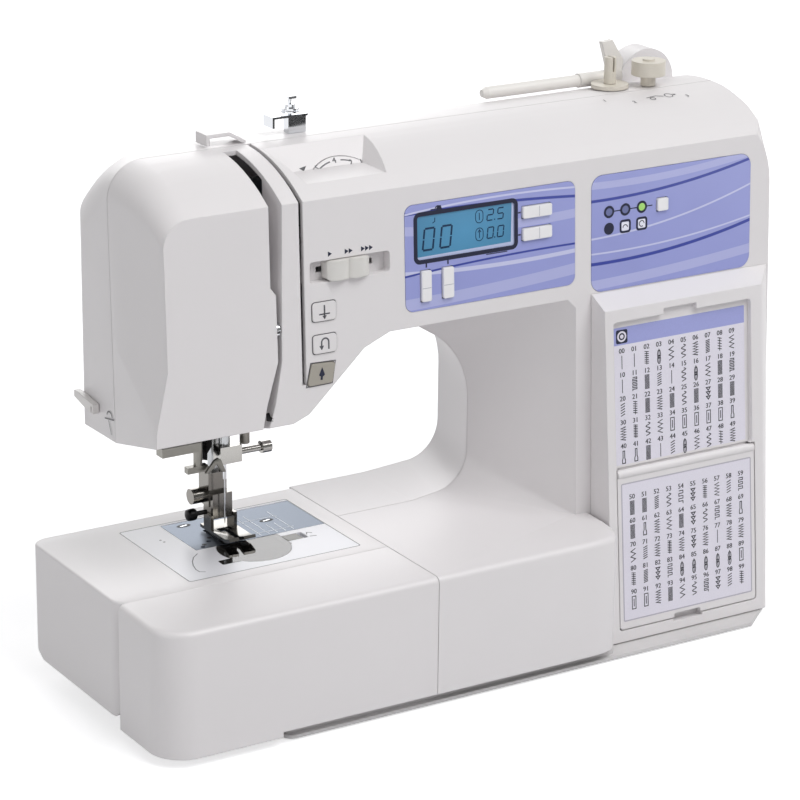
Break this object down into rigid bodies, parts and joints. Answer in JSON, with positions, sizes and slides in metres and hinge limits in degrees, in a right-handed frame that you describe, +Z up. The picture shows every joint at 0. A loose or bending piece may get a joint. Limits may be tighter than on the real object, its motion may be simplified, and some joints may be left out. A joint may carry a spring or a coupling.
{
  "type": "sewing machine",
  "caption": "Free-arm electronic sewing machine with flat-bed attachment, needle and presser mechanism, display panels, fold-down stitch chart and rear carrying handle.",
  "frame": {"origin": "on the table under the middle of the machine's bounding box", "axes": "+X along the machine from the free arm to the handwheel, +Y from the operator to the rear, +Z up"},
  "size_m": [0.417, 0.178, 0.3132],
  "materials": {
    "white_shell": "satin moulded ABS",
    "tray_grey": "satin moulded plastic",
    "rubber_black": "matte",
    "cast_frame": "as cast",
    "steel": "polished bar",
    "chrome_plate": "bright",
    "panel_print": "gloss, printed from behind",
    "lcd": "gloss",
    "key_white": "gloss",
    "button_grey": "satin",
    "plate_steel": "brushed",
    "cover_grey": "satin",
    "smoke_clear": "clear moulded",
    "black_plastic": "satin",
    "beige_plastic": "satin",
    "belt_rubber": "matte",
    "board_green": "solder mask"
  },
  "bodies": {
    "housing": {"base_tray": "tray_grey", "rubber_feet": "rubber_black", "front_shell": "white_shell", "rear_shell": "white_shell", "free_arm_cover": "white_shell", "chassis": "cast_frame", "casing_screws": "steel", "thread_guide_plate": "white_shell", "thread_cutter": "tray_grey", "winding_guide": "chrome_plate", "lcd_panel": "panel_print", "lcd_display": "lcd", "select_panel": "panel_print", "chart_box": "white_shell", "needle_plate_cover": "cover_grey", "needle_plate": "plate_steel", "winder_stopper": "beige_plastic", "motor": "cast_frame", "drive_belts": "belt_rubber", "bobbin_case": "black_plastic", "power_inlet": "black_plastic", "control_board": "board_green"},
    "chart_lid": {"chart_lid": "white_shell"},
    "bobbin_cover": {"bobbin_cover": "smoke_clear"},
    "cover_latch": {"cover_latch": "black_plastic"},
    "bed_attachment": {"bed_attachment": "white_shell"},
    "handwheel_shaft": {"main_shaft": "steel", "handwheel": "white_shell"},
    "lower_shaft": {"lower_shaft": "steel"},
    "rotary_hook": {"rotary_hook": "steel"},
    "motor_pulley": {"motor_pulley": "steel"},
    "bobbin": {"bobbin": "smoke_clear"},
    "needle_drive": {"needle_link": "steel", "needle_bar": "steel", "needle_clamp": "chrome_plate", "needle": "chrome_plate"},
    "take_up_lever": {"take_up_lever": "chrome_plate"},
    "presser": {"presser_bar": "steel", "foot_holder": "steel"},
    "presser_foot": {"presser_foot": "chrome_plate"},
    "presser_lever": {"presser_lever": "white_shell"},
    "needle_threader": {"needle_threader": "tray_grey"},
    "speed_slider": {"speed_slider": "white_shell"},
    "needle_button": {"needle_button": "key_white"},
    "reverse_button": {"reverse_button": "key_white"},
    "start_button": {"start_button": "button_grey"},
    "tens_key": {"tens_key": "key_white"},
    "ones_key": {"ones_key": "key_white"},
    "length_key": {"length_key": "key_white"},
    "width_key": {"width_key": "key_white"},
    "select_key": {"select_key": "key_white"},
    "tension_dial": {"tension_dial": "white_shell"},
    "spool_pin": {"spool_pin": "white_shell"},
    "winder_seat": {"winder_seat": "beige_plastic"},
    "winder_shaft": {"winder_shaft": "beige_plastic"},
    "feed_bar": {"feed_bar": "steel"},
    "feed_dogs": {"feed_dogs": "steel"},
    "drop_feed_lever": {"drop_feed_lever": "black_plastic"},
    "power_switch": {"power_switch": "black_plastic"},
    "carry_handle": {"carry_handle": "white_shell"}
  },
  "joints": [
    {"name": "handwheel_turn", "type": "hinge", "parent": "housing", "child": "handwheel_shaft", "pos_m": [0, 0.02, 0.235], "axis": [1, 0, 0], "continuous": true},
    {"name": "lower_shaft_turn", "type": "hinge", "parent": "housing", "child": "lower_shaft", "pos_m": [0, 0.02, 0.034], "axis": [1, 0, 0], "continuous": true},
    {"name": "hook_turn", "type": "hinge", "parent": "housing", "child": "rotary_hook", "pos_m": [-0.11, -0.002, 0.05], "axis": [0, 0, 1], "continuous": true},
    {"name": "motor_turn", "type": "hinge", "parent": "housing", "child": "motor_pulley", "pos_m": [0, 0.004, 0.044], "axis": [1, 0, 0], "continuous": true},
    {"name": "bobbin_spin", "type": "hinge", "parent": "housing", "child": "bobbin", "pos_m": [-0.11, -0.002, 0.06], "axis": [0, 0, 1], "continuous": true},
    {"name": "needle_stroke", "type": "slide", "parent": "housing", "child": "needle_drive", "axis": [0, 0, 1], "range_m": [-0.028, 0]},
    {"name": "take_up_swing", "type": "hinge", "parent": "housing", "child": "take_up_lever", "pos_m": [-0.117, 0.008, 0.212], "axis": [1, 0, 0], "range_deg": [-62, 0]},
    {"name": "presser_lever_lift", "type": "hinge", "parent": "housing", "child": "presser_lever", "pos_m": [-0.1015, 0.054, 0.196], "axis": [1, 0, 0], "range_deg": [0, 33]},
    {"name": "presser_bar_lift", "type": "slide", "parent": "housing", "child": "presser", "axis": [0, 0, 1], "range_m": [0, 0.006]},
    {"name": "foot_tilt", "type": "hinge", "parent": "presser", "child": "presser_foot", "pos_m": [-0.1145, 0.026, 0.084], "axis": [1, 0, 0], "range_deg": [-10, 0]},
    {"name": "threader_pull", "type": "slide", "parent": "housing", "child": "needle_threader", "axis": [0, 0, 1], "range_m": [-0.016, 0], "stiffness_N_per_m": 40, "springref_m": 0.012},
    {"name": "speed_slide", "type": "slide", "parent": "housing", "child": "speed_slider", "axis": [1, 0, 0], "range_m": [-0.0095, 0.012]},
    {"name": "needle_button_press", "type": "slide", "parent": "housing", "child": "needle_button", "axis": [0, 0.9988, -0.048], "range_m": [0, 0.0015], "stiffness_N_per_m": 300},
    {"name": "reverse_button_press", "type": "slide", "parent": "housing", "child": "reverse_button", "axis": [0, 0.9988, -0.048], "range_m": [0, 0.0015], "stiffness_N_per_m": 300},
    {"name": "start_button_press", "type": "slide", "parent": "housing", "child": "start_button", "axis": [0, 0.9988, -0.048], "range_m": [0, 0.0015], "stiffness_N_per_m": 300},
    {"name": "select_key_press", "type": "slide", "parent": "housing", "child": "select_key", "axis": [0, 0.9988, -0.048], "range_m": [0, 0.001], "stiffness_N_per_m": 300},
    {"name": "tens_key_rock", "type": "hinge", "parent": "housing", "child": "tens_key", "pos_m": [-0.02895, -0.03898, 0.21688], "axis": [1, 0, 0], "range_deg": [-4, 4], "stiffness_Nm_per_rad": 0.1},
    {"name": "ones_key_rock", "type": "hinge", "parent": "housing", "child": "ones_key", "pos_m": [-0.01545, -0.03898, 0.21688], "axis": [1, 0, 0], "range_deg": [-4, 4], "stiffness_Nm_per_rad": 0.1},
    {"name": "length_key_rock", "type": "hinge", "parent": "housing", "child": "length_key", "pos_m": [0.04045, -0.0375, 0.24759], "axis": [0, 0.048, 0.9988], "range_deg": [-3, 3], "stiffness_Nm_per_rad": 0.1},
    {"name": "width_key_rock", "type": "hinge", "parent": "housing", "child": "width_key", "pos_m": [0.04045, -0.03807, 0.23571], "axis": [0, 0.048, 0.9988], "range_deg": [-3, 3], "stiffness_Nm_per_rad": 0.1},
    {"name": "dial_turn", "type": "hinge", "parent": "housing", "child": "tension_dial", "pos_m": [-0.06, -0.01712, 0.26423], "axis": [0, -0.7337, 0.6794], "range_deg": [-150, 150]},
    {"name": "spool_pin_lift", "type": "hinge", "parent": "housing", "child": "spool_pin", "pos_m": [0.147, 0.043, 0.2916], "axis": [0, 1, 0], "range_deg": [0, 85]},
    {"name": "winder_shift", "type": "slide", "parent": "housing", "child": "winder_seat", "axis": [1, 0, 0], "range_m": [0, 0.005]},
    {"name": "winder_spin", "type": "hinge", "parent": "winder_seat", "child": "winder_shaft", "pos_m": [0.134, 0.0275, 0.295], "axis": [0, 0, 1], "continuous": true},
    {"name": "chart_lid_open", "type": "hinge", "parent": "housing", "child": "chart_lid", "pos_m": [0.12865, -0.06245, 0.09825], "axis": [-1, 0, 0], "range_deg": [0, 130]},
    {"name": "attachment_slide", "type": "slide", "parent": "housing", "child": "bed_attachment", "axis": [-1, 0, 0], "range_m": [0, 0.165]},
    {"name": "latch_slide", "type": "slide", "parent": "housing", "child": "cover_latch", "axis": [1, 0, 0], "range_m": [0, 0.003]},
    {"name": "bobbin_cover_tilt", "type": "hinge", "parent": "housing", "child": "bobbin_cover", "pos_m": [-0.11, 0.008, 0.0732], "axis": [1, 0, 0], "range_deg": [-20, 0]},
    {"name": "feed_stroke", "type": "slide", "parent": "housing", "child": "feed_bar", "axis": [0, 1, 0], "range_m": [-0.0025, 0.0025]},
    {"name": "feed_drop", "type": "slide", "parent": "feed_bar", "child": "feed_dogs", "axis": [0, 0, 1], "range_m": [-0.002, 0]},
    {"name": "drop_lever_slide", "type": "slide", "parent": "housing", "child": "drop_feed_lever", "axis": [1, 0, 0], "range_m": [0, 0.012]},
    {"name": "switch_rock", "type": "hinge", "parent": "housing", "child": "power_switch", "pos_m": [0.184, 0.04, 0.062], "axis": [0, 1, 0], "range_deg": [-8, 8]},
    {"name": "handle_lift", "type": "hinge", "parent": "housing", "child": "carry_handle", "pos_m": [0.02, 0.078, 0.252], "axis": [1, 0, 0], "range_deg": [0, 175]}
  ],
  "couplings": [
    {"joint": "lower_shaft_turn", "follows": "handwheel_turn", "ratio": 1},
    {"joint": "hook_turn", "follows": "handwheel_turn", "ratio": 2},
    {"joint": "motor_turn", "follows": "handwheel_turn", "ratio": 4},
    {"joint": "presser_lever_lift", "follows": "presser_bar_lift", "rad_per_m": 93.1},
    {"joint": "feed_drop", "follows": "drop_lever_slide", "ratio": -0.16667}
  ]
}
